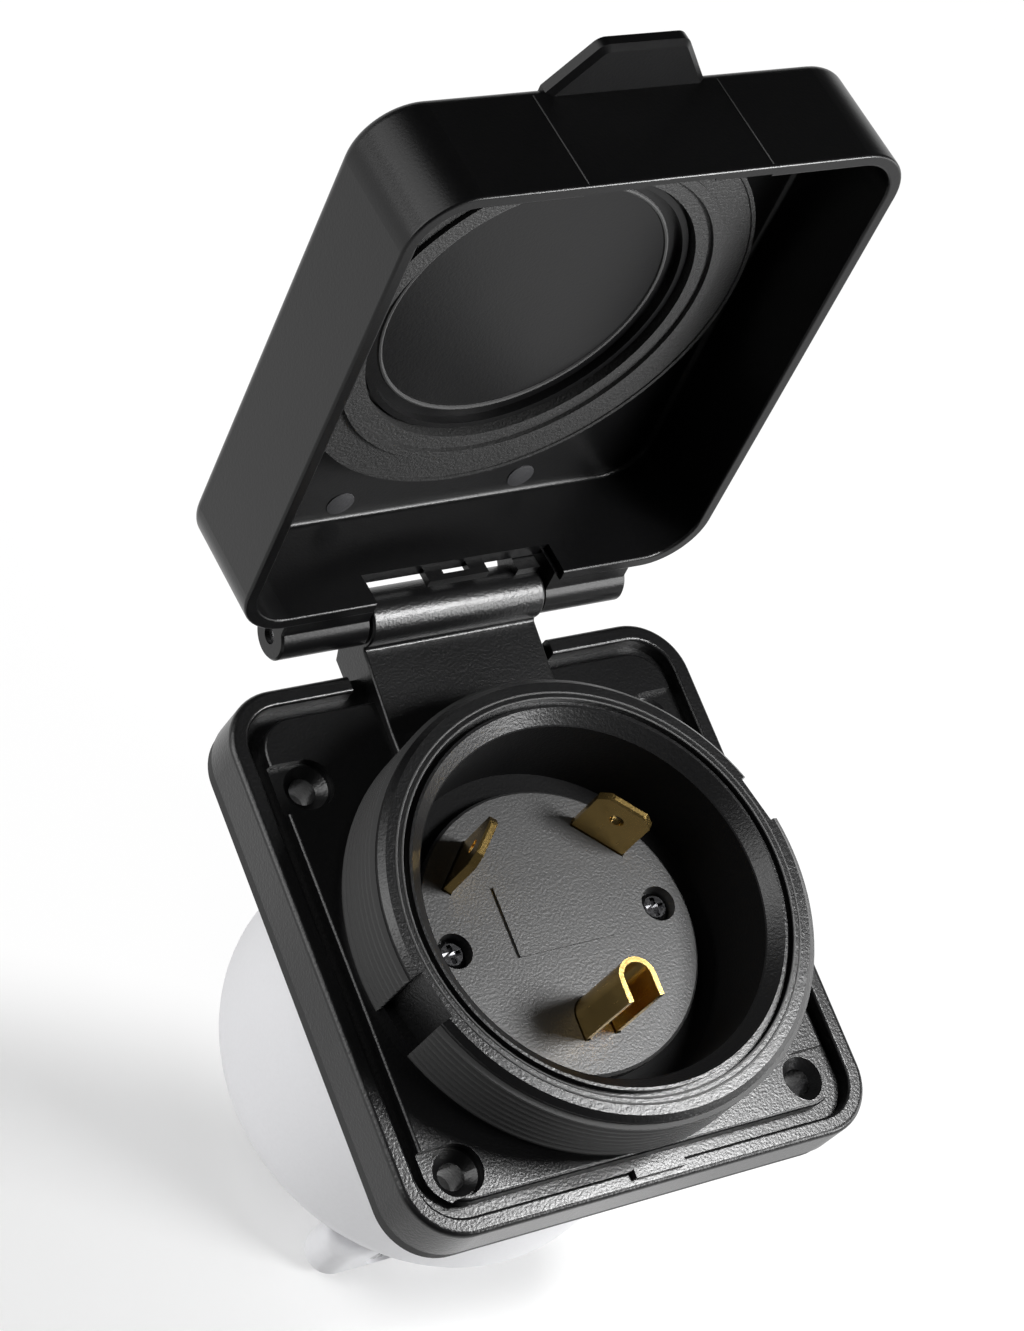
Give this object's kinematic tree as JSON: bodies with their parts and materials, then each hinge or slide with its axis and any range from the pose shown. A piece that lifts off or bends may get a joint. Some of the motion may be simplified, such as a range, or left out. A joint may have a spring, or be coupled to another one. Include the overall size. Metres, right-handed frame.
{
  "type": "caravan power inlet",
  "caption": "Flanged caravan power inlet with a threaded collar around brass contacts, a hinged lid with a ring seal, and a cup-shaped rear cover with a cord clamp.",
  "frame": {"origin": "On the collar axis at the wall face, the back of the wall gasket, which is also the centre of the screw pattern.", "axes": "+Z out of the wall along the collar axis, +Y towards the hinge, X along the hinge pin."},
  "size_m": [0.0926, 0.1464, 0.1897],
  "materials": {
    "housing_black": "fine satin grain",
    "lid_black": "fine satin grain",
    "carrier_grey": "matt",
    "gasket_rubber": "matt",
    "seal_rubber": "matt with fine ridges",
    "brass": "stamped, bright edges",
    "steel": "plated",
    "cover_white": "satin"
  },
  "bodies": {
    "inlet": {"flange_housing": "housing_black", "wall_gasket": "gasket_rubber", "hinge_pin": "steel", "contact_carrier": "carrier_grey", "carrier_gasket": "gasket_rubber", "carrier_screws": "steel", "line_blade": "brass", "neutral_blade": "brass", "ground_pin": "brass", "terminal_block": "carrier_grey", "line_clamp_plate": "brass", "neutral_clamp_plate": "brass", "ground_clamp_plate": "brass", "line_terminal_screw": "steel", "neutral_terminal_screw": "steel", "ground_terminal_screw": "steel", "rear_cover": "cover_white", "cover_screws": "steel", "cable_grommet": "gasket_rubber", "cord_clamp": "cover_white", "clamp_screws": "steel"},
    "cover_lid": {"lid": "lid_black", "lid_seal": "seal_rubber"}
  },
  "joints": [
    {"name": "lid_hinge", "type": "hinge", "parent": "inlet", "child": "cover_lid", "pos_m": [0, 0.0601, 0.0167], "axis": [1, 0, 0], "range_deg": [0, 101.7]}
  ]
}
